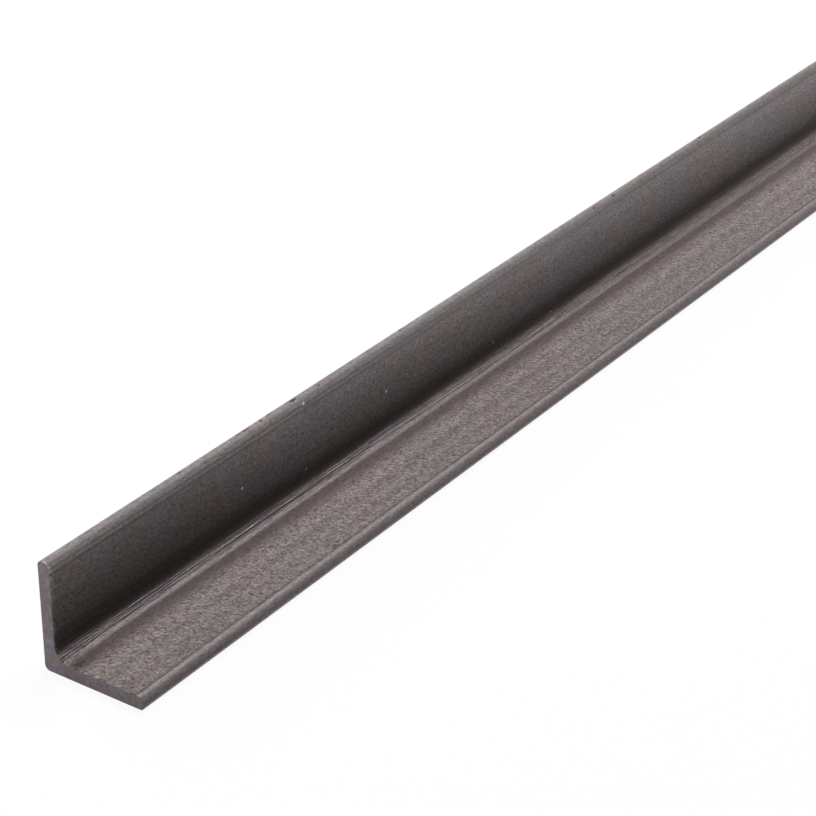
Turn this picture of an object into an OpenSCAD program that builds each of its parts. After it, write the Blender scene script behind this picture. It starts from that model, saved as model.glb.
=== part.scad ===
// Hot-rolled equal angle bar, L 25 x 25 x 3, cut square at both ends.
// X runs along the bar, the flat leg lies on Z = 0 and the upright leg stands at +Y.
// The origin is midway along the bar, under the middle of its footprint.

/* [Bar] */
// Length between the two cut ends
bar_length = 1000; // [100:50:3000]

/* [Legs] */
// Width of the flat leg, from the heel to its toe
flat_leg = 25; // [15:1:60]
// Height of the upright leg, from the heel to its toe
upright_leg = 25; // [15:1:60]
// Thickness of the flat leg
flat_thick = 3; // [2.8:0.1:6]
// Thickness of the upright leg
upright_thick = 3; // [2.8:0.1:6]

/* [Rolled corners] */
// Radius of the fillet in the inside corner
root_r = 3.5; // [1:0.25:8]
// Radius of the inside edge of each toe
toe_r = 1.75; // [0.5:0.05:1.95]
// Radius of the outside edge of each toe
toe_edge_r = 1; // [0.2:0.05:1.2]
// Radius of the outside corner
heel_r = 1.25; // [0.3:0.05:4]

/* [Hidden] */
// How far a cutter reaches past the face that it trims
overcut = 1;
// Facets that stand for a full circle on screen
$fn = 96;
steel_scale = [0.44, 0.41, 0.40];

// What a square corner at the origin, filling +X +Y, loses when it is rounded
module corner_waste(r) {
    difference() {
        translate([-overcut, -overcut]) square(r + overcut);
        translate([r, r]) circle(r = r);
    }
}

// What a fillet adds to an inside corner at the origin that is open to +X +Y
module fillet_web(r, sunk_x, sunk_y) {
    difference() {
        translate([-sunk_x, -sunk_y]) square([r + sunk_x, r + sunk_y]);
        translate([r, r]) circle(r = r);
    }
}

// A leg's flat strip along +X with its outer face on Y = 0, and both edges of its toe rounded
module leg_strip(width, thick) {
    difference() {
        square([width, thick]);
        translate([width, 0]) mirror([1, 0]) corner_waste(toe_edge_r);
        translate([width, thick]) rotate(180) corner_waste(toe_r);
    }
}

// The rolled section, with its heel at the origin and its legs along +X and +Y
module angle_section() {
    difference() {
        union() {
            leg_strip(flat_leg, flat_thick);
            mirror([1, -1]) leg_strip(upright_leg, upright_thick);
            translate([upright_thick, flat_thick])
                fillet_web(root_r, upright_thick / 2, flat_thick / 2);
        }
        corner_waste(heel_r);
    }
}

// The bar, extruded along X with the upright leg at +Y
module angle_bar() {
    color(steel_scale)
        translate([-bar_length / 2, flat_leg / 2, 0])
            rotate([90, 0, 90])
                linear_extrude(height = bar_length)
                    mirror([1, 0]) angle_section();
}

angle_bar();
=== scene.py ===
"""Looks of a hot-rolled steel angle bar, built around its packed solid.

The bar is one swept mesh: the rolled section, carried along the bar ring by ring, with real
relief on it: lengthwise bands, laps in the root fillet, lines beside the toes, nicks on the top
edge, and the saw's crumbs at both ends. Two materials cover it: mill scale on the rolled faces,
oxidised steel on the two cut ends. Masks stored at each point of the mesh tell the mill scale
where it is. Lengths are in metres unless a comment says otherwise, in the frame of the solid.
"""

import math

import bmesh
import bpy
import numpy as np
from bpy.props import FloatProperty, FloatVectorProperty, IntProperty, PointerProperty
from mathutils import Matrix, Vector


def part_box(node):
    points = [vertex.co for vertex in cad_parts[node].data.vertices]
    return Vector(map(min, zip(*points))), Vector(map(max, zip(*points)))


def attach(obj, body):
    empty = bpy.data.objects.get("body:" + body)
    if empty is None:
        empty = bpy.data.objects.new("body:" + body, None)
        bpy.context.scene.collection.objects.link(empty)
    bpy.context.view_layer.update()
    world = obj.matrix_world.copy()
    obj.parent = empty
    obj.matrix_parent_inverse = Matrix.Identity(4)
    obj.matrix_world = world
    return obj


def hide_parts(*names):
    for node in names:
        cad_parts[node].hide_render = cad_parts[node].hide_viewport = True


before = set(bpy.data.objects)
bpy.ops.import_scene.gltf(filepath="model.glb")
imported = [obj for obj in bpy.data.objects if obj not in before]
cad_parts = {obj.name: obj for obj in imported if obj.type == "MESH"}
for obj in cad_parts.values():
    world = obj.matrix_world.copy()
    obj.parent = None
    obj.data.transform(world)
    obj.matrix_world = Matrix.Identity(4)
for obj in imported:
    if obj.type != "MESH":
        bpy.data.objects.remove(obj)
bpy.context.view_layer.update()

bl_info = {
    "name": "Rolled Angle Bar",
    "version": (1, 0, 0),
    "blender": (4, 5, 0),
    "location": "View3D > Sidebar > Angle Bar",
    "description": "Dresses a packed angle bar with rolled relief, mill scale and a studio",
    "category": "Object",
}

NODE = "angle_bar"
BODY = "root"
BAR_LOW, BAR_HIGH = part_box(NODE)
FLAT_LEG, UPRIGHT_LEG = BAR_HIGH.y - BAR_LOW.y, BAR_HIGH.z - BAR_LOW.z
MM = 0.001
# Distance of the flat leg's toe from the heel and height of the upright leg's top, in mm
TOE, TOP = FLAT_LEG / MM, UPRIGHT_LEG / MM


# Settings

# What every colour has besides its name, description and default
COLOR = {"size": 3, "min": 0, "max": 1, "subtype": "COLOR"}


class SectionSizes(bpy.types.PropertyGroup):
    """The rolled section, which repeats the packed solid's own sizes"""

    thickness: FloatProperty(
        name="Thickness", description="Thickness of both legs",
        default=3 * MM, min=1 * MM, unit="LENGTH")
    root_radius: FloatProperty(
        name="Root radius", description="Fillet in the inside corner",
        default=3.5 * MM, min=0.5 * MM, unit="LENGTH")
    toe_radius: FloatProperty(
        name="Toe radius", description="Inside edge of each toe",
        default=1.75 * MM, min=0.2 * MM, unit="LENGTH")
    toe_edge_radius: FloatProperty(
        name="Toe edge radius", description="Outside edge of each toe",
        default=1 * MM, min=0.1 * MM, unit="LENGTH")
    heel_radius: FloatProperty(
        name="Heel radius", description="Outside corner",
        default=1.25 * MM, min=0.1 * MM, unit="LENGTH")
    cut_edge: FloatProperty(
        name="Cut edge", description="How far the edges of a cut end are worn back",
        default=0.12 * MM, min=0.02 * MM, unit="LENGTH")


class RollRelief(bpy.types.PropertyGroup):
    """Real relief that the rolls and the saw leave on the bar"""

    detail_length: FloatProperty(
        name="Detailed length", description="Length at the near end with closely spaced rings",
        default=0.34, min=0.01, unit="LENGTH")
    ring_gap: FloatProperty(
        name="Ring gap", description="Gap between rings along the detailed length",
        default=1.8 * MM, min=0.2 * MM, unit="LENGTH")
    far_ring_gap: FloatProperty(
        name="Far ring gap", description="Gap between rings on the rest of the bar",
        default=8 * MM, min=1 * MM, unit="LENGTH")
    band_height: FloatProperty(
        name="Band height", description="Height of the lengthwise bands on the flat leg",
        default=0.008 * MM, min=0, unit="LENGTH")
    toe_line_depth: FloatProperty(
        name="Toe line depth", description="Depth of the fine lines beside the toes",
        default=0.035 * MM, min=0, unit="LENGTH")
    lap_depth: FloatProperty(
        name="Lap depth", description="Depth of the deepest lap in the root fillet",
        default=0.16 * MM, min=0, unit="LENGTH")
    strand_height: FloatProperty(
        name="Strand height", description="Height of the fine strands along the root fillet",
        default=0.035 * MM, min=0, unit="LENGTH")
    nick_depth: FloatProperty(
        name="Nick depth", description="Depth of the nicks on the top edge",
        default=0.35 * MM, min=0, unit="LENGTH")
    burr_height: FloatProperty(
        name="Burr height", description="Height of the crumbs along the edges of the cut ends",
        default=0.07 * MM, min=0, unit="LENGTH")
    sway_height: FloatProperty(
        name="Sway", description="Slow unevenness of the rolled faces",
        default=0.03 * MM, min=0, unit="LENGTH")
    seed: IntProperty(name="Seed", description="Changes the random relief", default=7)


class ScaleFinish(bpy.types.PropertyGroup):
    """Colours of the mill scale and of the cut ends"""

    scale_color: FloatVectorProperty(
        name="Scale", description="Mill scale on the rolled faces",
        default=(0.216, 0.182, 0.175), **COLOR)
    # The darkest colour: it goes where the scale lies thickest and into laps, nicks and fine
    # cracks, and it is also the painted shade in and beside the inside corner
    dark_scale_and_shade: FloatVectorProperty(
        name="Scale, dark", description="Thick scale in hollows, laps and nicks",
        default=(0.033, 0.026, 0.024), **COLOR)
    scale_cool: FloatVectorProperty(
        name="Scale, cool", description="Purple-grey scale where it is thin and smooth",
        default=(0.220, 0.186, 0.189), **COLOR)
    scale_grey: FloatVectorProperty(
        name="Scale, grey", description="Rubbed grey scale on the upright leg and its top edge",
        default=(0.212, 0.197, 0.196), **COLOR)
    scale_brown: FloatVectorProperty(
        name="Scale, brown", description="Brown scale along the foot of the root fillet",
        default=(0.222, 0.174, 0.163), **COLOR)
    scale_blue: FloatVectorProperty(
        name="Scale, blue", description="Faint bluish patches of the smooth scale",
        default=(0.184, 0.184, 0.212), **COLOR)
    scale_rust: FloatVectorProperty(
        name="Scale, rust", description="Faint reddish patches of the smooth scale",
        default=(0.242, 0.182, 0.168), **COLOR)
    scale_khaki: FloatVectorProperty(
        name="Scale, khaki", description="Faint khaki patches of the pebbled scale",
        default=(0.197, 0.184, 0.167), **COLOR)
    scale_pink: FloatVectorProperty(
        name="Scale, pink", description="Faint pinkish patches of the pebbled scale",
        default=(0.226, 0.180, 0.182), **COLOR)
    cut_color: FloatVectorProperty(
        name="Cut end", description="Steel of the cut ends, oxidised to a purple grey",
        default=(0.159, 0.127, 0.162), **COLOR)
    cut_warm: FloatVectorProperty(
        name="Cut end, warm", description="Brownish patches on the cut ends",
        default=(0.177, 0.146, 0.138), **COLOR)
    edge_rust: FloatVectorProperty(
        name="Edge rust", description="Brown rust along the edges of the cut ends",
        default=(0.165, 0.130, 0.095), **COLOR)


class StudioSettings(bpy.types.PropertyGroup):
    """Camera, lamps, floor and room"""

    floor_color: FloatVectorProperty(
        name="Floor", description="Pale floor that the bar lies on",
        default=(0.82, 0.82, 0.82), **COLOR)
    floor_white: FloatProperty(
        name="Floor white", description="Share of plain white in the floor that the camera sees",
        default=0.93, min=0, max=1, subtype="FACTOR")
    key_power: FloatProperty(
        name="Key lamp", description="Power of the large lamp above the far end, in watts",
        default=370.0, min=0)
    back_power: FloatProperty(
        name="Back lamp", description="Power of the low lamp behind the bar, in watts",
        default=16.0, min=0)
    end_power: FloatProperty(
        name="End lamp", description="Power of the small lamp that faces the cut end, in watts",
        default=1.7, min=0)
    fill_power: FloatProperty(
        name="Fill lamp", description="Power of the low lamp in front of the far half, in watts",
        default=2.0, min=0)
    room_light: FloatProperty(
        name="Room light", description="Strength of the even light from all round",
        default=0.015, min=0)
    room_white: FloatProperty(
        name="Room white", description="White of the room behind the bar and in reflections",
        default=0.975, min=0, max=1, subtype="FACTOR")
    lens: FloatProperty(
        name="Lens", description="Focal length on a 36 mm wide frame, in millimetres",
        default=111.0, min=10)


# Section


def line_run(start, end, count):
    """Points from start up to, but not including, end, with the normal on their right."""
    start, end = np.array(start), np.array(end)
    share = np.arange(count)[:, None] / count
    along = (end - start) / np.linalg.norm(end - start)
    normal = np.array([along[1], -along[0]])
    return start + share * (end - start), np.repeat(normal[None], count, 0)


def arc_run(centre, radius, start_deg, end_deg, count):
    """Points on an arc up to, but not including, its end. It turns left where it bulges out."""
    angle = np.radians(start_deg + (end_deg - start_deg) * np.arange(count) / count)
    ray = np.stack([np.cos(angle), np.sin(angle)], 1)
    outward = 1 if end_deg > start_deg else -1
    return np.array(centre) + radius * ray, outward * ray


class Section:
    """The closed outline of the bar: p runs from the heel along the flat leg, q runs up.

    angle is degrees up the root fillet, 0 at the flat leg and 90 at the upright one. root_end is
    how far from the heel the fillet ends on both legs, in mm.
    """

    def __init__(self, sizes):
        t, root = sizes.thickness, sizes.root_radius
        toe, edge, heel = sizes.toe_radius, sizes.toe_edge_radius, sizes.heel_radius
        w, h, toe_lines = FLAT_LEG, UPRIGHT_LEG, 1.4 * MM
        toe_start, lines_start = w - toe, w - toe - toe_lines
        top_start, top_lines_start = h - toe, h - toe - toe_lines
        runs = [
            ("flat_outer", line_run((heel, 0), (w - edge, 0), 7)),
            ("flat_edge", arc_run((w - edge, edge), edge, -90, 0, 5)),
            ("flat_toe", line_run((w, edge), (w, t - toe), 2)),
            ("flat_round", arc_run((w - toe, t - toe), toe, 0, 90, 12)),
            ("flat_inner", line_run((toe_start, t), (lines_start, t), 9)),
            ("flat_inner", line_run((lines_start, t), (t + root, t), 36)),
            ("root", arc_run((t + root, t + root), root, -90, -180, 90)),
            ("upright_inner", line_run((t, t + root), (t, top_lines_start), 20)),
            ("upright_inner", line_run((t, top_lines_start), (t, top_start), 8)),
            ("upright_round", arc_run((t - toe, h - toe), toe, 0, 90, 12)),
            ("upright_toe", line_run((t - toe, h), (edge, h), 2)),
            ("upright_edge", arc_run((edge, h - edge), edge, 90, 180, 7)),
            ("upright_outer", line_run((0, h - edge), (0, heel), 7)),
            ("heel", arc_run((heel, heel), heel, 180, 270, 6)),
        ]
        self.point = np.concatenate([run[0] for _, run in runs])
        self.normal = np.concatenate([run[1] for _, run in runs])
        self.face = np.concatenate([[name] * len(run[0]) for name, run in runs])
        self.p, self.q = self.point.T
        self.angle = np.degrees(np.arctan2(t + root - self.p, t + root - self.q))
        self.root_end = (t + root) / MM

    def on(self, faces):
        """1 on the named faces and 0 elsewhere."""
        return np.isin(self.face, faces.split()).astype(float)

    def across(self, faces):
        """What runs across faces: mm from the heel, mm up, or degrees up the root fillet."""
        if faces == "root":
            return self.angle
        return (self.p if faces.startswith("flat") else self.q) / MM

    def hump(self, faces, centre, half_width):
        """A smooth hump of height 1 across the named faces, 0 elsewhere."""
        return bump_at(self.across(faces), centre, half_width) * self.on(faces)


# Relief


def soft_step(low, high, value):
    """0 below low, 1 above high, smooth between, or the other way round where low is above high."""
    share = np.clip((value - low) / (high - low), 0, 1)
    return share * share * (3 - 2 * share)


def bump_at(value, centre, half_width):
    """A smooth hump of height 1 that ends half_width from centre."""
    share = np.clip(1 - ((value - centre) / half_width) ** 2, 0, 1)
    return share * share


def smooth_through(knots, value):
    """A smooth line through knots of place and level, level beyond the first and the last."""
    places, levels = np.array(knots).T
    index = np.clip(np.searchsorted(places, value) - 1, 0, len(places) - 2)
    share = soft_step(places[index], places[index + 1], value)
    return levels[index] * (1 - share) + levels[index + 1] * share


def wander(x, knot_gap, random):
    """A smooth random line between -1 and 1 along x, with a knot every knot_gap."""
    knots = random.uniform(-1, 1, int(x.max() / knot_gap) + 3)
    place = x / knot_gap
    index = place.astype(int)
    share = soft_step(0, 1, place - index)
    return knots[index] * (1 - share) + knots[index + 1] * share


# Laps seen in the root fillet: where each starts and ends along the bar in mm, its height up the
# fillet at both ends in degrees, and its depth as a share of the deepest
ROOT_LAPS = [
    (-12, 12, 53, 52, 0.40),
    (4, 44, 51, 50, 0.80),
    (-14, 16, 43, 41, 0.75),
    (24, 50, 41, 45, 0.65),
    (-12, 12, 31, 33, 0.45),
    (6, 27, 34, 35, 0.85),
    (28, 48, 30, 31, 0.45),
    (-10, 24, 47, 48, 0.35),
    (-10, 20, 60, 58, 0.30),
    (0, 30, 38, 37, 0.30),
    (40, 90, 36.6, 36.4, 1.00),
    (46, 104, 39, 39, 1.00),
    (36, 92, 54, 54, 0.60),
    (76, 106, 45, 50, 0.75),
    (84, 132, 36, 35, 0.60),
    (94, 134, 52, 50, 0.40),
    (112, 176, 29, 30, 0.60),
    (122, 164, 42, 40, 0.35),
    (150, 190, 37, 36, 0.50),
    (156, 204, 30, 28, 0.45),
    (190, 222, 50, 52, 0.50),
    (192, 240, 40, 41, 0.35),
    (226, 268, 38, 40, 0.28),
    (262, 330, 33, 31, 0.25),
]

# Nicks on the upright toe's top edge: distance from the near end and in from the outer face,
# length and width, all in mm, and depth as a share of the deepest
TOP_NICKS = [
    (41.5, 1.0, 1.4, 0.6, 0.4),
    (48.4, 2.3, 1.0, 0.6, 0.25),
    (60.9, 0.7, 1.4, 0.6, 0.8),
    (62.9, 1.0, 0.9, 0.6, 0.6),
    (68.4, 1.2, 1.0, 0.7, 0.5),
    (71.5, 0.7, 1.2, 0.6, 0.6),
    (79.6, 1.2, 2.2, 0.7, 1.0),
    (88.3, 1.5, 1.0, 0.7, 0.6),
    (120.0, 0.9, 1.0, 0.6, 0.4),
    (203.8, 1.7, 1.3, 0.7, 0.7),
    (213.2, 1.9, 1.3, 0.6, 0.7),
    (237.0, 1.7, 1.2, 0.6, 0.5),
    (259.3, 1.0, 1.6, 0.6, 0.6),
    (298.6, 0.6, 1.8, 0.7, 0.8),
]

# Light specks on the upright leg's inner face: distance from the near end and height, in mm
LIGHT_SPECKS = [(59.2, 13.5), (81.2, 24.0), (81.5, 7.8), (156.2, 7.5), (182.1, 5.3), (111.8, 13.6)]

# Lines beside the upright toe: distance below its top in mm, and height as a share of the toe
# line's depth. A groove is negative.
TOP_LINES = [(1.35, -1.0), (1.9, 0.9), (2.5, -0.8)]

# Light and dark bands along the flat leg: distance from the heel in mm, and lightness from -1
# to 1, with a smooth change from each to the next
FLAT_BANDS = [(8.5, 0.0), (12.8, 0.67), (15.2, -0.2), (17.6, 0.41), (19.5, -0.22),
              (21.4, 0.12), (22.8, -0.2)]

# The next tables say how the scale differs from face to face and along the bar. Each row has the
# faces, the amount, from where to where across the face it comes in, and from where to where along
# the bar. Across is mm from the heel on the flat leg, mm up on the upright leg and degrees up the
# root fillet, and along is mm from the near end. Where a pair runs backwards, the amount goes out
# instead, and None stands for the whole face or the whole bar.

# How coarse the grain is, from 0 to 1
SCALE_GRAIN = [
    ("flat_inner", 1.0, (6.8, 10.6), None),
    ("flat_inner", -0.75, (TOE - 2.4, TOE - 1.7), None),
    ("upright_inner", 0.42, None, None),
    ("upright_inner", -0.28, (TOP - 4.0, TOP - 2.6), None),
    ("root flat_round upright_round flat_toe", 0.12, None, None),
    ("upright_toe upright_edge flat_edge heel", 0.34, None, None),
    ("flat_outer upright_outer", 0.75, None, None),
]

# How dark the scale is, from 0 to 1, from its thickness and from painted shade: most where the
# upright leg meets the root, which is painted shade of the inside corner. The rows that change
# along the bar paint the change of light from end to end.
SCALE_THICKNESS_AND_SHADE = [
    ("root", 1.0, (37, 72), None),
    ("root", 0.36, (13, 2), None),
    ("flat_round", 0.1, None, None),
    ("flat_round", 0.35, (TOE - 1.2, TOE), None),
    ("flat_toe", 0.05, None, None),
    ("upright_round upright_toe", 0.15, None, None),
    ("upright_round", 0.18, None, (100, 300)),
    ("root", 0.17, (52, 36), (100, 300)),
    ("root", -0.1, (48, 62), (100, 300)),
    ("flat_inner", 0.08, (9, 11), (60, 150)),
    ("flat_inner", -0.13, (7.6, 6.6), (60, 150)),
    ("root", -0.13, (12, 4), (60, 150)),
    ("upright_inner", 0.065, None, (80, 30)),
    ("upright_inner", 0.065, (9, 16), (80, 30)),
    ("upright_inner", 0.08, (TOP - 3.0, TOP - 2.2), (30, 12)),
    ("flat_inner", 0.1, None, (3.5, 1)),
]

# The share of that thickness and painted shade that is taken away: scale rubbed away, and painted
# light higher up the upright leg and toward the far end
SCALE_THINNING_AND_PAINTED_LIGHT = [
    ("upright_inner", 0.05, None, (30, 220)),
    ("upright_inner", 0.28, (7.5, 17), (30, 220)),
    ("upright_inner", 0.6, (17, TOP - 2.5), (20, 160)),
]

# How far the rolls have rubbed the scale bright, from 0 to 1: along the root's foot
SCALE_POLISH = [("root", 1.0, (3, 14), None), ("root", -1.0, (16, 46), None)]

# Which way the scale's colour leans: -1 for grey, 1 for brown
SCALE_HUE = [
    ("root", 1.0, (14, 0), None),
    ("root", 0.5, None, (100, 300)),
    ("upright_inner", -0.35, None, None),
    ("upright_round", -0.6, None, None),
    ("upright_toe upright_edge", -0.9, None, None),
]

# Bands beside those of FLAT_BANDS and TOP_LINES: a painted highlight on the flat toe's outside
# edge, and painted shade in the inside corner
EDGE_LIGHT_AND_CORNER_SHADE = [
    ("flat_edge", 1.0, None, None),
    ("root", -0.7, (74, 84), None),
    ("upright_inner", -0.7, (7.4, 6.4), None),
]


def unseen_laps(start, end, random):
    """Random laps for the stretch that nothing shows, in the form of ROOT_LAPS."""
    laps, lap_gap = [], 26.0
    for begin in np.arange(start, end, lap_gap):
        height = random.uniform(28, 55)
        laps.append((begin, begin + random.uniform(20, 60), height,
                     height + random.uniform(-4, 4), random.uniform(0.15, 0.6)))
    return laps


def unseen_nicks(start, end, random):
    """Random nicks for the stretch that nothing shows, in the form of TOP_NICKS."""
    nick_gap = 48.0
    return [(begin + random.uniform(0, 25), random.uniform(0.6, 2.2), random.uniform(1, 2.2),
             random.uniform(0.6, 0.8), random.uniform(0.4, 0.9))
            for begin in np.arange(start, end, nick_gap)]


def lap_relief(section, x, laps, relief, random):
    """Height of the laps and of the fine strands between them, and the masks of both."""
    # Half widths of a lap's groove and lip and gaps between strands, in degrees up the fillet
    groove, lip, strand_gaps = 2.4, 3.2, (3.1, 4.3, 5.9, 7.7)
    height = np.zeros((len(x), len(section.p)))
    dark, bright = np.zeros_like(height), np.zeros_like(height)
    on_root = section.on("root")
    crumble = np.random.default_rng(relief.seed + 1)
    broken = 0.12 + 0.38 * (1 - soft_step(0.02, 0.06, x))
    for start, end, low, high, share in laps:
        along = (x / MM - start) / (end - start)
        fade = (bump_at(along, 0.5, 0.5) ** 0.3 * share)[:, None]
        fade = fade * (1 + broken * wander(x, 1.4 * MM, crumble))[:, None]
        line = low + (high - low) * along + 1.6 * wander(x, 11 * MM, random)
        line = line + 0.9 * wander(x, 4.5 * MM, random)
        up = section.angle[None, :] - line[:, None]
        cut = bump_at(up, 0, groove) * fade
        raised = bump_at(up, groove + 0.5 * lip, lip) * fade
        height += relief.lap_depth * (0.55 * raised - cut)
        dark, bright = np.maximum(dark, cut), np.maximum(bright, raised)
    strands = np.zeros_like(height)
    for gap in strand_gaps:
        phase = 2 * math.pi * section.angle[None, :] / gap
        phase = phase + 3 * wander(x, 22 * MM, random)[:, None]
        strength = (0.6 + 0.4 * wander(x, 13 * MM, random))[:, None]
        strands += np.cos(phase) * strength / len(strand_gaps)
    strands = strands * section.hump("root", 41, 24)
    height += relief.strand_height * strands
    # The lips and strands are lighter, partly as bare steel and partly as painted highlight
    bright = np.clip(bright + 0.9 * strands, -0.6, 1)
    return height * on_root, dark * on_root, bright * on_root


def nick_relief(section, x, nicks, relief):
    """Depth of the nicks on the top edge, and a mask that is 1 in their bottoms."""
    depth = np.zeros((len(x), len(section.p)))
    top = section.on("upright_toe upright_edge upright_round")
    for place, inward, length, width, share in nicks:
        away = ((x[:, None] / MM - place) / (length / 2)) ** 2
        away = away + ((section.p[None, :] / MM - inward) / (width / 2)) ** 2
        depth = np.maximum(depth, share * np.clip(1 - away, 0, 1) ** 0.7 * top)
    return -relief.nick_depth * depth, depth


def burr_relief(section, x, length, relief, random):
    """Height of the crumbs that the saw left on the inner edges of both ends, and their mask."""
    steps = np.linalg.norm(np.diff(section.point, axis=0), axis=1)
    around = np.concatenate([[0], np.cumsum(steps)])
    gap = np.minimum(x, length - x)[:, None]
    share = (1 - soft_step(0.3 * MM, 1.6 * MM, gap)) * section.on("flat_inner root upright_inner")
    low_root = (1 - soft_step(50, 60, section.angle)) * section.on("root")
    share = np.maximum(share, 0.7 * (1 - soft_step(1.5 * MM, 18 * MM, gap)) * low_root)
    crumbs = np.zeros_like(share)
    for ring in np.flatnonzero(share.max(1) > 0):
        crumbs[ring] = share[ring] * wander(around, 0.4 * MM, random)
    return relief.burr_height * crumbs, crumbs


def top_line_fade(x):
    """How clear the lines beside the upright toe are: they fade along the bar."""
    return 1 - 0.7 * soft_step(0.06, 0.2, x)[:, None]


def band_relief(section, x, relief, random):
    """Lengthwise bands, toe lines and the slow unevenness of every face but the lowest."""
    p, q = section.p, section.q
    drift = 0.4 * wander(x, 60 * MM, random)[:, None]
    bands = smooth_through(FLAT_BANDS, p[None, :] / MM + drift)
    height = relief.band_height * bands * section.on("flat_inner")
    lines = section.hump("flat_inner", TOE - 2.0, 0.36)
    for above, share in TOP_LINES:
        line = section.hump("upright_inner upright_round", TOP - above, 0.38)
        lines = lines - share * line * top_line_fade(x)
    height = height - relief.toe_line_depth * lines
    sway = wander(x, 48 * MM, random)[:, None] * np.cos(p * 300)[None, :]
    sway = sway + wander(x, 31 * MM, random)[:, None] * np.sin(q * 280)[None, :]
    free = 1 - section.on("flat_outer flat_edge heel")
    return height - relief.sway_height * (0.5 + 0.25 * sway) * free


# Masks that the mill scale's material reads


def painted(section, x, rows):
    """The sum of a table's rows, at each ring and each point of the section."""
    total = np.zeros((len(x), len(section.p)))
    for faces, amount, across, along in rows:
        share = section.on(faces)
        if across:
            share = share * soft_step(*across, section.across(faces))
        if along:
            share = share * soft_step(*along, x[:, None] / MM)
        total += amount * share
    return total


def thick_and_shade_mask(section, x, near_foot):
    """How dark the scale is, from its thickness and from painted shade: the table of both, with
    what its rows can't say.
    """
    up, outward = section.across("upright_inner"), section.across("flat_inner")
    # Painted shade on the upright leg, darker down toward the inside corner
    leg = 0.83 - 0.045 * (up - 9.5) + 0.14 * soft_step(10, 6.5, up)
    # Painted shadow of the upright leg on the flat leg beside the root
    foot = soft_step(9.7, section.root_end + 0.8, outward)
    mask = painted(section, x, SCALE_THICKNESS_AND_SHADE)
    mask += np.clip(leg, 0, 1) * section.on("upright_inner")
    mask += 0.36 * foot * section.on("flat_inner")
    mask += 0.38 * section.hump("flat_inner", TOE - 1.95, 0.42)
    mask += 0.25 * near_foot
    mask += 0.25 * soft_step(10, 1, x[:, None] / MM) * section.hump("flat_inner", 7.8, 1.9)
    mask += 0.2 * bump_at(x[:, None] / MM, 68, 34) * section.hump("root", 59, 7)
    return mask * (1 - painted(section, x, SCALE_THINNING_AND_PAINTED_LIGHT))


def band_and_painted_light_mask(section, x):
    """Lengthwise light and dark bands that the rolls leave, from -1 to 1, with a painted highlight
    on the flat toe's outside edge and painted shade in the inside corner.
    """
    mask = painted(section, x, EDGE_LIGHT_AND_CORNER_SHADE)
    mask += smooth_through(FLAT_BANDS, section.across("flat_inner")) * section.on("flat_inner")
    for above, share in TOP_LINES:
        mask += share * section.hump("upright_inner upright_round", TOP - above, 0.5)
    high_up = soft_step(15, 18, section.q / MM) * section.on("upright_inner upright_round")
    return np.clip(mask, -1, 1) * (1 - high_up * (1 - top_line_fade(x)))


def scale_masks(section, x):
    """The masks that follow from the place alone, by the name of their attribute."""
    near_foot = soft_step(50, 15, x[:, None] / MM) * section.hump("root", 10.5, 8)
    toe_shine = 0.28 * section.hump("flat_round", TOE - 1.3, 1.0)
    brown_foot = section.hump("flat_inner", section.root_end + 0.6, 4.5)
    everywhere = np.ones((len(x), 1))
    return {
        "grain": painted(section, x, SCALE_GRAIN),
        "thick": thick_and_shade_mask(section, x, near_foot),
        "polish": (painted(section, x, SCALE_POLISH) + toe_shine) * (1 - 0.4 * near_foot),
        "band": band_and_painted_light_mask(section, x),
        "fold": everywhere * section.hump("root", 44, 26) ** 0.5,
        "hue": painted(section, x, SCALE_HUE) + brown_foot,
        "outer": everywhere * section.on("flat_outer upright_outer heel"),
    }


def end_edge(x, length):
    """1 along the edges of both cut ends, 0 from a little way in."""
    return 1 - soft_step(0.25 * MM, 0.7 * MM, np.minimum(x, length - x))


# Bar mesh


def ring_stations(relief, length, nicks):
    """Distances of the rings from the near end, closer in the detailed length and round nicks."""
    crumbs_end, least_gap = 26 * MM, 0.25 * MM
    near = np.arange(relief.ring_gap, relief.detail_length, relief.ring_gap)
    crumbly = np.arange(1.5 * relief.ring_gap, crumbs_end, relief.ring_gap)
    edge = np.array([0.35, 0.65, 1.0, 1.4]) * MM
    far = np.arange(relief.detail_length, length - relief.ring_gap, relief.far_ring_gap)
    extra = [place * MM + share * size * MM
             for place, _, size, _, _ in nicks for share in (-0.6, -0.35, 0, 0.35, 0.6)]
    stations = np.sort(np.concatenate([edge, near, crumbly, far, length - edge, extra]))
    keep = np.concatenate([[True], np.diff(stations) > least_gap])
    return stations[keep]


def bar_grid(section, relief, length):
    """Ring positions along the bar, each ring's points, and the masks, as arrays."""
    random = np.random.default_rng(relief.seed)
    seen, whole = relief.detail_length / MM, length / MM
    laps = ROOT_LAPS + unseen_laps(seen - 60, whole - 40, random)
    nicks = TOP_NICKS + unseen_nicks(seen, whole - 30, random)
    x = ring_stations(relief, length, nicks)
    lap_height, lap_mask, lip_and_highlight_mask = lap_relief(section, x, laps, relief, random)
    nick_height, nick_mask = nick_relief(section, x, nicks, relief)
    height = lap_height + nick_height + band_relief(section, x, relief, random)
    burr_height, crumbs = burr_relief(section, x, length, relief, random)
    height = height + burr_height
    rings = section.point[None] + height[:, :, None] * section.normal[None]
    edge, top = end_edge(x, length)[:, None], section.on("upright_round upright_toe")
    # The lips of the laps, the strands and the crumbs are made lighter, partly as bare steel and
    # partly as painted highlight, and a painted highlight runs along the top edge at each cut end
    masks = {
        "lap": np.maximum(lap_mask, -0.7 * crumbs),
        "edge": edge * (1 - top - 0.6 * section.on("flat_inner")),
        "lip": lip_and_highlight_mask + 0.5 * edge * top + np.maximum(0.4 * crumbs, 0),
        "nick": np.clip(3 * nick_mask, 0, 1),
    }
    return x, rings, {**masks, **scale_masks(section, x)}


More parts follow.
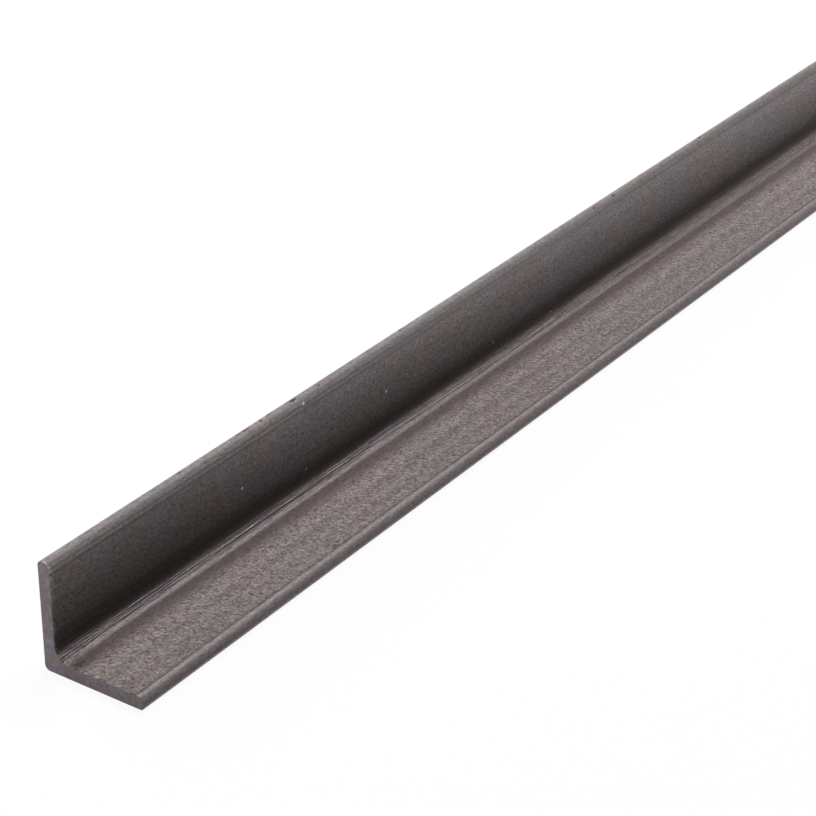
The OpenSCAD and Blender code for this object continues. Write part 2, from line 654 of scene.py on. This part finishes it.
def with_cut_ends(x, rings, masks, section, length, worn):
    """Adds three rings at each end that wear its edges back."""
    def pulled_in(ring, share):
        return ring - share * worn * section.normal
    first, last = rings[0], rings[-1]
    x = np.concatenate([[0, 0.3 * worn, worn], x, [length - worn, length - 0.3 * worn, length]])
    rings = np.concatenate([
        [pulled_in(first, 1), pulled_in(first, 0.3), first], rings,
        [last, pulled_in(last, 0.3), pulled_in(last, 1)]])
    masks = {name: np.concatenate([mask[:1]] * 3 + [mask] + [mask[-1:]] * 3)
             for name, mask in masks.items()}
    return x, rings, masks


def bar_mesh(section, relief, worn, low, high):
    """The bar as one closed mesh, in the frame of the solid, with its masks as attributes."""
    length = high.x - low.x
    grid = bar_grid(section, relief, length)
    x, rings, masks = with_cut_ends(*grid, section, length, worn)
    count, around = rings.shape[:2]
    corners = np.empty((count, around, 3))
    corners[..., 0] = low.x + x[:, None]
    corners[..., 1] = high.y - rings[..., 0]
    corners[..., 2] = low.z + rings[..., 1]
    ring = np.arange(around)
    beside = (ring + 1) % around
    start = (np.arange(count - 1) * around)[:, None]
    quads = np.stack([start + ring, start + beside, start + around + beside,
                      start + around + ring], -1).reshape(-1, 4)
    faces = quads.tolist()
    faces.append(ring[::-1].tolist())
    faces.append((ring + (count - 1) * around).tolist())
    mesh = bpy.data.meshes.new("angle_bar_rolled")
    mesh.from_pydata(corners.reshape(-1, 3).tolist(), [], faces)
    for name, mask in masks.items():
        attribute = mesh.attributes.new(name, "FLOAT", "POINT")
        attribute.data.foreach_set("value", mask.astype(np.float32).ravel())
    return mesh


def finish_mesh(mesh):
    """Triangulates the two ends, shades the rolled faces smooth and the ends flat."""
    work = bmesh.new()
    work.from_mesh(mesh)
    bmesh.ops.recalc_face_normals(work, faces=work.faces)
    ends = [face for face in work.faces if len(face.verts) > 4]
    bmesh.ops.triangulate(work, faces=ends, ngon_method="BEAUTY")
    for face in work.faces:
        is_end = abs(face.normal.x) > 0.999
        face.smooth = not is_end
        face.material_index = 1 if is_end else 0
    for edge in work.edges:
        edge.smooth = len({face.material_index for face in edge.link_faces}) == 1
    work.to_mesh(mesh)
    work.free()


# Shader nodes


def feed(tree, socket, value):
    """Links another node's output to the socket, or sets the socket to a plain value."""
    if isinstance(value, bpy.types.NodeSocket):
        tree.links.new(value, socket)
    else:
        socket.default_value = value


def add_node(tree, kind, settings=None, **inputs):
    """A shader node with its settings made. Inputs go by name, or by number in the form _1."""
    node = tree.nodes.new("ShaderNode" + kind)
    for key, value in (settings or {}).items():
        setattr(node, key, value)
    for key, value in inputs.items():
        number = key[1:]
        feed(tree, node.inputs[int(number) if number.isdigit() else key.replace("_", " ")], value)
    return node


def math_node(tree, operation, a, b=0.0):
    """The output of one Math node."""
    return add_node(tree, "Math", {"operation": operation}, _0=a, _1=b).outputs[0]


def times(tree, a, b):
    """a multiplied by b."""
    return math_node(tree, "MULTIPLY", a, b)


def plus(tree, a, b):
    """a and b added."""
    return math_node(tree, "ADD", a, b)


def minus(tree, a, b):
    """a less b."""
    return math_node(tree, "SUBTRACT", a, b)


def larger(tree, a, b):
    """The larger of a and b."""
    return math_node(tree, "MAXIMUM", a, b)


def distance_from(tree, value, middle):
    """How far value is from middle, to either side."""
    return math_node(tree, "ABSOLUTE", minus(tree, value, middle))


def spread(tree, value, low, high, to_low=0.0, to_high=1.0):
    """Maps value from low..high to to_low..to_high and clamps it."""
    return add_node(tree, "MapRange", {"clamp": True}, _0=value, _1=low, _2=high, _3=to_low,
                    _4=to_high).outputs[0]


def mix_color(tree, share, a, b, blend="MIX"):
    """The colour output of one Mix node."""
    return add_node(tree, "Mix", {"data_type": "RGBA", "blend_type": blend}, _0=share, _6=a,
                    _7=b).outputs[2]


def moved(tree, vector, **how):
    """vector shifted, turned or stretched by Location, Rotation or Scale."""
    return add_node(tree, "Mapping", Vector=vector, **how).outputs[0]


def mask_value(tree, name):
    """The value of one of the bar's own masks."""
    return add_node(tree, "Attribute", {"attribute_name": name}).outputs["Fac"]


def place_group(tree, group, **inputs):
    """The outputs of a node group in a material, with its inputs linked or set."""
    return add_node(tree, "Group", {"node_tree": group}, **inputs).outputs


def opaque(color):
    """A colour property as a four-number colour."""
    return (*color, 1.0)


# Shader node groups


def new_group(name, inputs, outputs):
    """An empty shader node group, and the sockets that it is given and that it has to feed.

    An input is its kind, its name and its default, an output its kind and its name.
    """
    group = bpy.data.node_groups.new(name, "ShaderNodeTree")
    for kind, label, default in inputs:
        socket = group.interface.new_socket(label, in_out="INPUT", socket_type="NodeSocket" + kind)
        if default is not None:
            socket.default_value = default
    for kind, label in outputs:
        group.interface.new_socket(label, in_out="OUTPUT", socket_type="NodeSocket" + kind)
    given, result = group.nodes.new("NodeGroupInput"), group.nodes.new("NodeGroupOutput")
    return group, given.outputs, result.inputs


def pebble_group():
    """Pebbled grain of oxide scale: its height, and a mask that is 1 on its wavy crests."""
    group, given, result = new_group(
        "Scale Pebble",
        [("Vector", "Vector", None), ("Float", "Grain Size", 0.0009), ("Float", "Wrinkle", 0.5)],
        [("Float", "Height"), ("Float", "Crest")])
    per_metre = math_node(group, "DIVIDE", 1.0, given["Grain Size"])
    bulk = add_node(group, "TexNoise", Vector=given["Vector"], Scale=per_metre, Detail=2.0,
                    Roughness=0.5, Distortion=0.5)
    folds = add_node(group, "TexNoise",
                     Vector=moved(group, given["Vector"], Location=(0.3, 0.7, 0.1)),
                     Scale=times(group, per_metre, 0.8), Detail=1.0, Roughness=0.5,
                     Distortion=1.2)
    crest = spread(group, distance_from(group, folds.outputs[0], 0.5), 0.0, 0.12, 1.0, 0.0)
    folded = times(group, crest, given["Wrinkle"])
    feed(group, result["Height"], plus(group, bulk.outputs[0], folded))
    feed(group, result["Crest"], crest)
    return group


def streak_group():
    """Lengthwise streaks that the rolls leave, from 0 to 1, and thin wavy lines among them."""
    group, given, result = new_group(
        "Roll Streaks",
        [("Vector", "Vector", None), ("Float", "Width", 0.0015), ("Float", "Length", 0.12)],
        [("Float", "Streak"), ("Float", "Line")])
    x, y, z = add_node(group, "SeparateXYZ", Vector=given["Vector"]).outputs
    place = add_node(group, "CombineXYZ", X=math_node(group, "DIVIDE", x, given["Length"]),
                     Y=math_node(group, "DIVIDE", y, given["Width"]),
                     Z=math_node(group, "DIVIDE", z, given["Width"]))
    noise = add_node(group, "TexNoise", Vector=place.outputs[0], Scale=1.0, Detail=3.0,
                     Roughness=0.5)
    feed(group, result["Streak"], spread(group, noise.outputs[0], 0.3, 0.7))
    off_line = distance_from(group, noise.outputs[0], 0.5)
    feed(group, result["Line"], spread(group, off_line, 0.0, 0.03, 1.0, 0.0))
    return group


def patch_group():
    """Broad soft patches of a second tint."""
    group, given, result = new_group(
        "Oxide Patches",
        [("Vector", "Vector", None), ("Color", "Color", (0.2, 0.2, 0.2, 1)),
         ("Color", "Tint", (0.2, 0.2, 0.25, 1)), ("Float", "Patch Size", 0.03),
         ("Float", "Amount", 0.5)],
        [("Color", "Color")])
    noise = add_node(group, "TexNoise", Vector=given["Vector"],
                     Scale=math_node(group, "DIVIDE", 1.0, given["Patch Size"]), Detail=3.0,
                     Roughness=0.6, Distortion=0.4)
    share = times(group, spread(group, noise.outputs[0], 0.48, 0.68), given["Amount"])
    feed(group, result["Color"], mix_color(group, share, given["Color"], given["Tint"]))
    return group


def speck_group():
    """One small round speck: 1 at its place, 0 beyond its size."""
    group, given, result = new_group(
        "Light Speck",
        [("Vector", "Vector", None), ("Vector", "Place", None), ("Float", "Size", 0.0004)],
        [("Float", "Speck")])
    away = add_node(group, "VectorMath", {"operation": "DISTANCE"}, _0=given["Vector"],
                    _1=given["Place"]).outputs["Value"]
    share = math_node(group, "DIVIDE", away, given["Size"])
    feed(group, result["Speck"], spread(group, share, 0.5, 1.0, 1.0, 0.0))
    return group


# Materials


def new_material(name):
    """An empty node material with its output, and its Principled shader."""
    material = bpy.data.materials.new(name)
    material.use_nodes = True
    tree = material.node_tree
    tree.nodes.clear()
    shader = tree.nodes.new("ShaderNodeBsdfPrincipled")
    output = tree.nodes.new("ShaderNodeOutputMaterial")
    tree.links.new(shader.outputs[0], output.inputs["Surface"])
    return material, tree, shader


def scale_tint(tree, groups, finish, place, mask):
    """The scale's own colour: its tints from face to face, with broad faint patches."""
    pebbled = spread(tree, mask["grain"], 0.45, 0.9)
    color = mix_color(tree, pebbled, opaque(finish.scale_cool), opaque(finish.scale_color))
    for lean, tint in ((-1.0, finish.scale_grey), (1.0, finish.scale_brown)):
        color = mix_color(tree, spread(tree, mask["hue"], 0.0, lean), color, opaque(tint))
    in_root = larger(tree, times(tree, mask["fold"], 2.5), mask["hue"])
    by_grain = spread(tree, mask["grain"], 0.12, 1.0, 0.25, 0.85)
    amount = spread(tree, in_root, 0.0, 1.0, by_grain, 0.2)
    aside = moved(tree, place, Location=(0.4, 0.2, 0.9))
    for where, smooth_tint, rough_tint in ((place, finish.scale_blue, finish.scale_khaki),
                                           (aside, finish.scale_rust, finish.scale_pink)):
        tint = mix_color(tree, pebbled, opaque(smooth_tint), opaque(rough_tint))
        color = place_group(tree, groups["patch"], Vector=where, Color=color, Tint=tint,
                            Patch_Size=0.014, Amount=amount)["Color"]
    return color


def scale_tone(tree, mask, streak):
    """How light the scale is along the bar: streaks, bands with their painted edge highlight and
    corner shade, and the lips of the laps with their painted highlights.
    """
    tone = spread(tree, streak, 0.0, 1.0, spread(tree, mask["outer"], 0, 1, 0.95, 0.84),
                  spread(tree, mask["outer"], 0, 1, 1.05, 1.12))
    for share, name in ((0.3, "band"), (0.95, "lip")):
        tone = times(tree, tone, plus(tree, times(tree, mask[name], share), 1.0))
    return tone


def scale_speckle_and_highlight(tree, groups, place, rippled, mask, pebble, fine, specks):
    """How much lighter or darker the grain and the specks are, as a share of the colour, with a
    painted highlight on the grain's wavy crests.
    """
    grit = place_group(tree, groups["pebble"], Vector=rippled, Grain_Size=0.00053, Wrinkle=0.0)
    drawn = place_group(tree, groups["streak"], Vector=place, Width=0.0003, Length=0.006)
    # Grain tone, with a painted highlight on the wavy crests of the pebbles
    speckle_and_highlight = plus(tree, spread(tree, pebble["Height"], 0.3, 0.85, -0.26, 0.26),
                   spread(tree, pebble["Crest"], 0.0, 1.0, -0.12, 0.36))
    speckle_and_highlight = times(tree, speckle_and_highlight, plus(tree, times(tree, mask["grain"], 0.8), 0.1))
    pebbled = spread(tree, mask["grain"], 0.5, 0.9)
    plain = times(tree, spread(tree, mask["grain"], 0.1, 0.42, 0.7, 1.0), minus(tree, 1.0, pebbled))
    in_root = spread(tree, mask["fold"], 0.0, 0.4, 0.35, 1.0)
    for share, grains, low, high, darker, lighter in (
            (plain, fine["Height"], 0.3, 0.7, -0.40, 0.40),
            (pebbled, grit["Height"], 0.3, 0.7, -0.48, 0.62),
            (in_root, drawn["Streak"], 0.0, 1.0, -0.24, 0.24)):
        tone = spread(tree, grains, low, high, darker, lighter)
        speckle_and_highlight = plus(tree, speckle_and_highlight, times(tree, share, tone))
    for spot in specks:
        dot = place_group(tree, groups["speck"], Vector=place, Place=spot, Size=0.00046)
        speckle_and_highlight = plus(tree, speckle_and_highlight, times(tree, dot["Speck"], 3.5))
    return speckle_and_highlight


def mill_scale(finish, groups, specks):
    """Mill scale: dull brown-grey oxide, pebbled on the flat leg and smooth in the root."""
    material, tree, shader = new_material("mill_scale")
    place = add_node(tree, "TexCoord").outputs["Object"]
    mask = {name: mask_value(tree, name) for name in ("grain", "lap", "lip", "nick", "thick",
                                                      "polish", "band", "fold", "hue", "edge",
                                                      "outer")}
    turned = moved(tree, place, Rotation=(0, 0, math.radians(50)))
    rippled = moved(tree, turned, Scale=(0.76, 1.18, 1.0))
    rolled_out = moved(tree, place, Scale=(0.42, 1.0, 1.0))
    pebble = place_group(tree, groups["pebble"], Vector=rippled, Grain_Size=0.00068, Wrinkle=0.12)
    fine = place_group(tree, groups["pebble"], Vector=rolled_out, Grain_Size=0.0004, Wrinkle=0.0)
    streak = place_group(tree, groups["streak"], Vector=place, Width=0.0016, Length=0.15)
    folds = place_group(tree, groups["streak"], Vector=place, Width=0.00065, Length=0.02)
    crack = times(tree, folds["Line"], mask["fold"])

    # Darker with thicker scale, with the painted shade in and beside the inside corner, and in
    # laps, nicks and fine cracks; lighter on the lips
    dark = minus(tree, mask["thick"], times(tree, mask["lip"], 0.6))
    for hollow in (mask["lap"], mask["nick"], times(tree, crack, 0.5)):
        dark = larger(tree, dark, hollow)
    dark = spread(tree, dark, 0.0, 1.0)
    tint = scale_tint(tree, groups, finish, place, mask)
    color = mix_color(tree, dark, tint, opaque(finish.dark_scale_and_shade))
    rust = times(tree, mask["edge"], 0.5)
    color = mix_color(tree, rust, color, opaque(finish.edge_rust))
    tone = scale_tone(tree, mask, streak["Streak"])
    color = mix_color(tree, 1.0, color, tone, "MULTIPLY")
    speckle_and_highlight = scale_speckle_and_highlight(tree, groups, place, rippled, mask, pebble, fine, specks)
    level = add_node(tree, "RGBToBW", Color=color).outputs[0]
    greyed = mix_color(tree, spread(tree, mask["grain"], 0.45, 0.9, 0.35, 0.75), color, level)
    change = mix_color(tree, 1.0, greyed, speckle_and_highlight, "MULTIPLY")
    feed(tree, shader.inputs["Base Color"], mix_color(tree, 1.0, color, change, "ADD"))

    rough = spread(tree, streak["Streak"], 0.0, 1.0, 0.44, 0.54)
    feed(tree, shader.inputs["Roughness"], plus(tree, rough, times(tree, dark, 0.2)))
    bare = times(tree, minus(tree, 1.0, dark), 0.12)
    for name, share in (("polish", 0.19), ("lip", 0.2)):
        bare = plus(tree, bare, times(tree, mask[name], share))
    feed(tree, shader.inputs["Metallic"], spread(tree, bare, 0.0, 1.0))
    shader.inputs["IOR"].default_value = 1.2

    hills = times(tree, pebble["Height"], times(tree, mask["grain"], mask["grain"]))
    coarse = add_node(tree, "Bump", Strength=1.0, Distance=0.0006, Height=hills)
    small = add_node(tree, "Bump", Strength=1.0, Distance=0.00004,
                     Height=fine["Height"], Normal=coarse.outputs[0])
    folded = add_node(tree, "Bump", {"invert": True}, Strength=1.0, Distance=0.00006,
                      Height=crack, Normal=small.outputs[0])
    feed(tree, shader.inputs["Normal"], folded.outputs[0])
    return material


def depth_in_leg(tree, distance, thickness):
    """How deep a point lies in a leg, from its distance to the leg's outer face."""
    return minus(tree, thickness / 2, distance_from(tree, distance, thickness / 2))


def cut_steel(finish, groups, thickness):
    """The cut ends: fine cutting marks under a purple-grey bloom of oxide."""
    material, tree, shader = new_material("cut_steel")
    place = add_node(tree, "TexCoord").outputs["Object"]
    patch = place_group(tree, groups["patch"], Vector=place, Color=opaque(finish.cut_color),
                        Tint=opaque(finish.cut_warm), Patch_Size=0.0018, Amount=1.0)
    turned = moved(tree, place, Rotation=(math.radians(35), 0, 0))
    sawn = moved(tree, turned, Scale=(1.0, 0.12, 1.0))
    marks = place_group(tree, groups["pebble"], Vector=sawn, Grain_Size=0.00022, Wrinkle=0.2)
    mottle = place_group(tree, groups["pebble"], Vector=place, Grain_Size=0.0011, Wrinkle=0.0)
    _, y, z = add_node(tree, "SeparateXYZ", Vector=place).outputs
    from_heel = minus(tree, BAR_HIGH.y, y)
    shade = spread(tree, marks["Height"], 0.4, 0.9, 0.90, 1.08)
    for value, low, high, to_low, to_high in (
            (mottle["Height"], 0.32, 0.68, 0.70, 1.30),
            (from_heel, 0.0030, 0.0055, 1.0, 0.78)):
        shade = times(tree, shade, spread(tree, value, low, high, to_low, to_high))
    color = mix_color(tree, 1.0, patch["Color"], shade, "MULTIPLY")
    depth = larger(tree, depth_in_leg(tree, from_heel, thickness),
                   depth_in_leg(tree, z, thickness))
    rim = spread(tree, depth, 0.0001, 0.0006, 0.55, 0.0)
    feed(tree, shader.inputs["Base Color"], mix_color(tree, rim, color, opaque(finish.edge_rust)))
    feed(tree, shader.inputs["Roughness"],
         spread(tree, marks["Height"], 0.4, 0.9, 0.46, 0.58))
    shader.inputs["IOR"].default_value = 1.5
    bump = add_node(tree, "Bump", Strength=1.0, Distance=0.000012, Height=marks["Height"])
    feed(tree, shader.inputs["Normal"], bump.outputs[0])
    return material


def seen_in_mirror(tree, rays):
    """1 for a ray that comes by way of a mirror or a glass."""
    return larger(tree, rays["Is Glossy Ray"], rays["Is Transmission Ray"])


def pale_floor(settings):
    """A white floor that keeps the bar's shadow but reads as the white background."""
    material, tree, shader = new_material("pale_floor")
    tree.nodes.remove(shader)
    output = next(node for node in tree.nodes if node.type == "OUTPUT_MATERIAL")
    matt = add_node(tree, "BsdfDiffuse", Color=opaque(settings.floor_color))
    glow = add_node(tree, "Emission", Color=(1, 1, 1, 1), Strength=1.0)
    rays = add_node(tree, "LightPath").outputs
    seen = times(tree, rays["Is Camera Ray"], settings.floor_white)
    share = larger(tree, seen, seen_in_mirror(tree, rays))
    mix = add_node(tree, "MixShader", Fac=share, _1=matt.outputs[0], _2=glow.outputs[0])
    feed(tree, output.inputs["Surface"], mix.outputs[0])
    return material


# Stage


def add_lamp(name, aim, heading, height, distance, size, power, spread=180):
    """A soft rectangular lamp that the camera doesn't see, placed by its direction from aim."""
    data = bpy.data.lights.new(name, "AREA")
    data.shape, data.size, data.size_y, data.energy = "RECTANGLE", size[0], size[1], power
    data.spread = math.radians(spread)
    lamp = bpy.data.objects.new(name, data)
    bpy.context.scene.collection.objects.link(lamp)
    turn, rise = math.radians(heading), math.radians(height)
    away = Vector((math.cos(rise) * math.cos(turn), math.cos(rise) * math.sin(turn),
                   math.sin(rise)))
    lamp.location = Vector(aim) + away * distance
    lamp.rotation_euler = (-away).to_track_quat("-Z", "Y").to_euler()
    lamp.visible_camera = False


def add_camera(lens):
    """The camera at the photographed view: above the near end, looking along the bar."""
    place = Vector((-0.7964, -0.2755, 0.2782))
    heading, down, roll = (math.radians(angle) for angle in (34.361, 28.368, 0.311))
    look = Vector((math.cos(heading) * math.cos(down), math.sin(heading) * math.cos(down),
                   -math.sin(down)))
    right = Vector((math.sin(heading), -math.cos(heading), 0))
    up = right.cross(look)
    tilted = right * math.cos(roll) + up * math.sin(roll)
    axes = Matrix((tilted, tilted.cross(look), -look)).transposed()
    data = bpy.data.cameras.new("view")
    data.lens, data.sensor_width, data.clip_start = lens, 36.0, 0.01
    camera = bpy.data.objects.new("view", data)
    bpy.context.scene.collection.objects.link(camera)
    camera.matrix_world = Matrix.Translation(place) @ axes.to_4x4()
    bpy.context.scene.camera = camera


def white_room(strength, white):
    """A dim even room for the light, white where the camera and reflections see it."""
    world = bpy.data.worlds.new("studio")
    world.use_nodes = True
    tree = world.node_tree
    tree.nodes.clear()
    dim = add_node(tree, "Background", Color=(1, 1, 1, 1), Strength=strength)
    bright = add_node(tree, "Background", Color=(white, white, white, 1), Strength=1.0)
    rays = add_node(tree, "LightPath").outputs
    seen = larger(tree, rays["Is Camera Ray"], seen_in_mirror(tree, rays))
    mix = add_node(tree, "MixShader", Fac=seen, _1=dim.outputs[0], _2=bright.outputs[0])
    add_node(tree, "OutputWorld", Surface=mix.outputs[0])
    bpy.context.scene.world = world


# Operators


class ANGLEBAR_OT_make_bar(bpy.types.Operator):
    """Builds the rolled bar over its packed solid and gives it its two finishes"""

    bl_idname = "anglebar.make_bar"
    bl_label = "Make Bar"

    def execute(self, context):
        scene = context.scene
        sizes, relief, finish = scene.bar_section, scene.bar_relief, scene.bar_finish
        section = Section(sizes)
        mesh = bar_mesh(section, relief, sizes.cut_edge, BAR_LOW, BAR_HIGH)
        finish_mesh(mesh)
        groups = {"pebble": pebble_group(), "streak": streak_group(), "patch": patch_group(),
                  "speck": speck_group()}
        inner_face = BAR_HIGH.y - sizes.thickness
        specks = [(BAR_LOW.x + away * MM, inner_face, BAR_LOW.z + height * MM)
                  for away, height in LIGHT_SPECKS]
        mesh.materials.append(mill_scale(finish, groups, specks))
        mesh.materials.append(cut_steel(finish, groups, sizes.thickness))
        bar = bpy.data.objects.new("rolled_bar", mesh)
        scene.collection.objects.link(bar)
        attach(bar, BODY)
        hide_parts(NODE)
        return {"FINISHED"}


class ANGLEBAR_OT_make_stage(bpy.types.Operator):
    """Lays the floor, hangs the lamps and sets the camera"""

    bl_idname = "anglebar.make_stage"
    bl_label = "Make Stage"

    def execute(self, context):
        studio = context.scene.bar_studio
        reach = 6.0
        mesh = bpy.data.meshes.new("floor")
        mesh.from_pydata([(x, y, 0) for x, y in ((-reach, -reach), (reach, -reach),
                                                 (reach, reach), (-reach, reach))],
                         [], [(0, 1, 2, 3)])
        mesh.materials.append(pale_floor(studio))
        floor = bpy.data.objects.new("floor", mesh)
        context.scene.collection.objects.link(floor)
        seen, front, cut_end = (-0.25, 0, 0), (0.3, 0, 0), (BAR_LOW.x, 0, 0)
        add_lamp("key", seen, 12, 61, 6.0, (3.3, 2.7), studio.key_power)
        add_lamp("back", seen, 92, 36, 1.6, (1.0, 0.7), studio.back_power)
        add_lamp("end", cut_end, 180, 8, 0.9, (0.4, 0.15), studio.end_power)
        add_lamp("fill", front, -90, 14, 0.6, (0.6, 0.15), studio.fill_power, 120)
        white_room(studio.room_light, studio.room_white)
        add_camera(studio.lens)
        context.scene.view_settings.view_transform = "Standard"
        return {"FINISHED"}


class ANGLEBAR_PT_panel(bpy.types.Panel):
    """Lists the steps that dress the bar"""

    bl_idname = "ANGLEBAR_PT_panel"
    bl_label = "Angle Bar"
    bl_space_type = "VIEW_3D"
    bl_region_type = "UI"
    bl_category = "Angle Bar"

    def draw(self, context):
        for operator in OPERATORS:
            self.layout.operator(operator.bl_idname)
        for name, settings in SETTINGS.items():
            box = self.layout.box()
            box.label(text=settings.__doc__)
            group = getattr(context.scene, name)
            for key in settings.__annotations__:
                box.prop(group, key)


SETTINGS = {
    "bar_section": SectionSizes,
    "bar_relief": RollRelief,
    "bar_finish": ScaleFinish,
    "bar_studio": StudioSettings,
}
OPERATORS = (ANGLEBAR_OT_make_bar, ANGLEBAR_OT_make_stage)


def register():
    for name, settings in SETTINGS.items():
        bpy.utils.register_class(settings)
        setattr(bpy.types.Scene, name, PointerProperty(type=settings))
    for operator in OPERATORS:
        bpy.utils.register_class(operator)
    bpy.utils.register_class(ANGLEBAR_PT_panel)


def unregister():
    bpy.utils.unregister_class(ANGLEBAR_PT_panel)
    for operator in reversed(OPERATORS):
        bpy.utils.unregister_class(operator)
    for name, settings in reversed(SETTINGS.items()):
        delattr(bpy.types.Scene, name)
        bpy.utils.unregister_class(settings)


def main():
    register()
    bpy.ops.anglebar.make_bar()
    bpy.ops.anglebar.make_stage()


if __name__ == "__main__":
    main()
